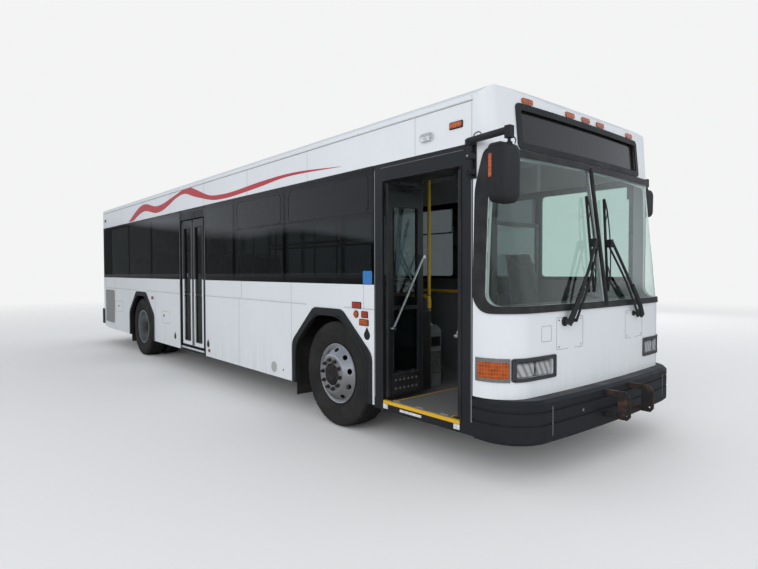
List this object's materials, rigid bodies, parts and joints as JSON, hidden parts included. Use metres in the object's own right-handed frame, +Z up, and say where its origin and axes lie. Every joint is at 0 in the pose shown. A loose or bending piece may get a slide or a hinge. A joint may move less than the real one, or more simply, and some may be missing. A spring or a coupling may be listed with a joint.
{
  "type": "low-floor city bus",
  "caption": "Two-door low-floor city bus with steered front wheels, twin rear wheels, opening doors, folding ramp, engine door and roof hatches.",
  "frame": {"origin": "on the ground at the middle of the overall length and width", "axes": "+X forward, +Y to the driver's side, +Z up"},
  "size_m": [11.41, 3.2, 2.994],
  "materials": {
    "white_body": "gloss white paint, road film low down",
    "charcoal_frame": "satin charcoal paint",
    "black_plastic": "grained black plastic",
    "dark_glass": "deep tinted safety glass",
    "clear_glass": "clear laminated glass",
    "tyre": "worn commercial tyre",
    "alloy": "polished forged alloy, dulled by the road",
    "steel": "black chassis paint with rust",
    "lamp_clear": "clear lamp lens",
    "lamp_amber": "amber lens",
    "lamp_red": "red lens",
    "sign_black": "blank sign glass",
    "grey_floor": "grey floor covering",
    "blue_seat": "woven seat cover",
    "yellow_pole": "yellow powder coat",
    "grey_plastic": "grey moulded plastic",
    "ramp_plate": "gritted grey plate with yellow edge"
  },
  "bodies": {
    "root": {"arch_trims": "black_plastic", "cabin_partitions": "grey_plastic", "cove_panels": "white_body", "dashboard": "grey_plastic", "door_frames": "charcoal_frame", "driver_seat": "grey_plastic", "engine_block": "steel", "farebox": "grey_plastic", "floor": "grey_floor", "front_axle": "steel", "front_bumper": "black_plastic", "front_cap": "white_body", "front_mask": "white_body", "headlamps": "lamp_clear", "marker_lamps": "lamp_amber", "mirrors": "black_plastic", "passenger_seats": "blue_seat", "rack_brackets": "steel", "rear_axle": "steel", "rear_bumper": "black_plastic", "rear_panel": "white_body", "roof": "white_body", "side_glass": "dark_glass", "side_lower_left": "white_body", "side_lower_right": "white_body", "sign_frame": "black_plastic", "signs": "sign_black", "stanchions": "yellow_pole", "steering_column": "grey_plastic", "tail_lamps": "lamp_red", "turn_signals": "lamp_amber", "underframe": "steel", "wheelhouses": "steel", "window_frames_left": "black_plastic", "window_frames_right": "black_plastic", "windshield": "clear_glass", "windshield_frame": "black_plastic", "windshield_gasket": "black_plastic", "wipers": "black_plastic"},
    "knuckle_left": {"knuckle_left": "steel"},
    "knuckle_right": {"knuckle_right": "steel"},
    "tie_rod": {"tie_rod": "steel"},
    "front_wheel_left": {"front_tyre_left": "tyre", "front_rim_left": "alloy"},
    "front_wheel_right": {"front_tyre_right": "tyre", "front_rim_right": "alloy"},
    "rear_wheels_left": {"rear_tyres_left": "tyre", "rear_rims_left": "alloy"},
    "rear_wheels_right": {"rear_tyres_right": "tyre", "rear_rims_right": "alloy"},
    "steering_wheel": {"steering_wheel": "grey_plastic"},
    "front_door_leaf_rear": {"front_door_leaf_rear": "charcoal_frame"},
    "front_door_leaf_front": {"front_door_leaf_front": "charcoal_frame"},
    "rear_door_leaf_rear": {"rear_door_leaf_rear": "charcoal_frame"},
    "rear_door_leaf_front": {"rear_door_leaf_front": "charcoal_frame"},
    "boarding_ramp": {"boarding_ramp": "ramp_plate"},
    "engine_door": {"engine_door": "white_body"},
    "roof_hatch_front": {"roof_hatch_front": "white_body"},
    "roof_hatch_rear": {"roof_hatch_rear": "white_body"}
  },
  "joints": [
    {"name": "steer_right", "type": "hinge", "parent": "root", "child": "knuckle_right", "pos_m": [3.245, -0.928, 0.527], "axis": [0, 0, 1], "range_deg": [-35, 35]},
    {"name": "steer_left", "type": "hinge", "parent": "root", "child": "knuckle_left", "pos_m": [3.245, 0.928, 0.527], "axis": [0, 0, 1], "range_deg": [-35, 35]},
    {"name": "tie_rod_pivot", "type": "hinge", "parent": "knuckle_right", "child": "tie_rod", "pos_m": [3.075, -0.928, 0.296], "axis": [0, 0, 1], "range_deg": [-35, 35]},
    {"name": "steering_wheel_turn", "type": "hinge", "parent": "root", "child": "steering_wheel", "pos_m": [4.775, 0.76, 1.33], "axis": [-0.4695, 0, 0.8829], "range_deg": [-630, 630]},
    {"name": "front_wheel_right_spin", "type": "hinge", "parent": "knuckle_right", "child": "front_wheel_right", "pos_m": [3.245, -1.118, 0.527], "axis": [0, 1, 0], "continuous": true},
    {"name": "front_wheel_left_spin", "type": "hinge", "parent": "knuckle_left", "child": "front_wheel_left", "pos_m": [3.245, 1.118, 0.527], "axis": [0, 1, 0], "continuous": true},
    {"name": "rear_wheels_right_spin", "type": "hinge", "parent": "root", "child": "rear_wheels_right", "pos_m": [-2.885, -1.118, 0.527], "axis": [0, 1, 0], "continuous": true},
    {"name": "rear_wheels_left_spin", "type": "hinge", "parent": "root", "child": "rear_wheels_left", "pos_m": [-2.885, 1.118, 0.527], "axis": [0, 1, 0], "continuous": true},
    {"name": "front_door_rear_leaf_swing", "type": "hinge", "parent": "root", "child": "front_door_leaf_rear", "pos_m": [4.2465, -1.0575, 2.3], "axis": [0, 0, 1], "range_deg": [0, 90]},
    {"name": "front_door_front_leaf_swing", "type": "hinge", "parent": "root", "child": "front_door_leaf_front", "pos_m": [4.6835, -1.0575, 2.3], "axis": [0, 0, -1], "range_deg": [0, 90]},
    {"name": "rear_door_rear_leaf_swing", "type": "hinge", "parent": "root", "child": "rear_door_leaf_rear", "pos_m": [-0.586, -1.06, 2.3], "axis": [0, 0, 1], "range_deg": [-90, 0]},
    {"name": "rear_door_front_leaf_swing", "type": "hinge", "parent": "root", "child": "rear_door_leaf_front", "pos_m": [-0.154, -1.06, 2.3], "axis": [0, 0, -1], "range_deg": [-90, 0]},
    {"name": "ramp_fold", "type": "hinge", "parent": "root", "child": "boarding_ramp", "pos_m": [4.465, -1.283, 0.422], "axis": [1, 0, 0], "range_deg": [0, 200]},
    {"name": "engine_door_lift", "type": "hinge", "parent": "root", "child": "engine_door", "pos_m": [-5.553, 0, 1.533], "axis": [0, 1, 0], "range_deg": [0, 80]},
    {"name": "front_hatch_tilt", "type": "hinge", "parent": "root", "child": "roof_hatch_front", "pos_m": [2.009, 0, 2.968], "axis": [0, 1, 0], "range_deg": [0, 30]},
    {"name": "rear_hatch_tilt", "type": "hinge", "parent": "root", "child": "roof_hatch_rear", "pos_m": [-2.331, 0, 2.968], "axis": [0, 1, 0], "range_deg": [0, 30]}
  ],
  "couplings": [
    {"joint": "steer_left", "follows": "steer_right", "ratio": 1},
    {"joint": "tie_rod_pivot", "follows": "steer_right", "ratio": -1},
    {"joint": "steering_wheel_turn", "follows": "steer_right", "ratio": 18}
  ]
}
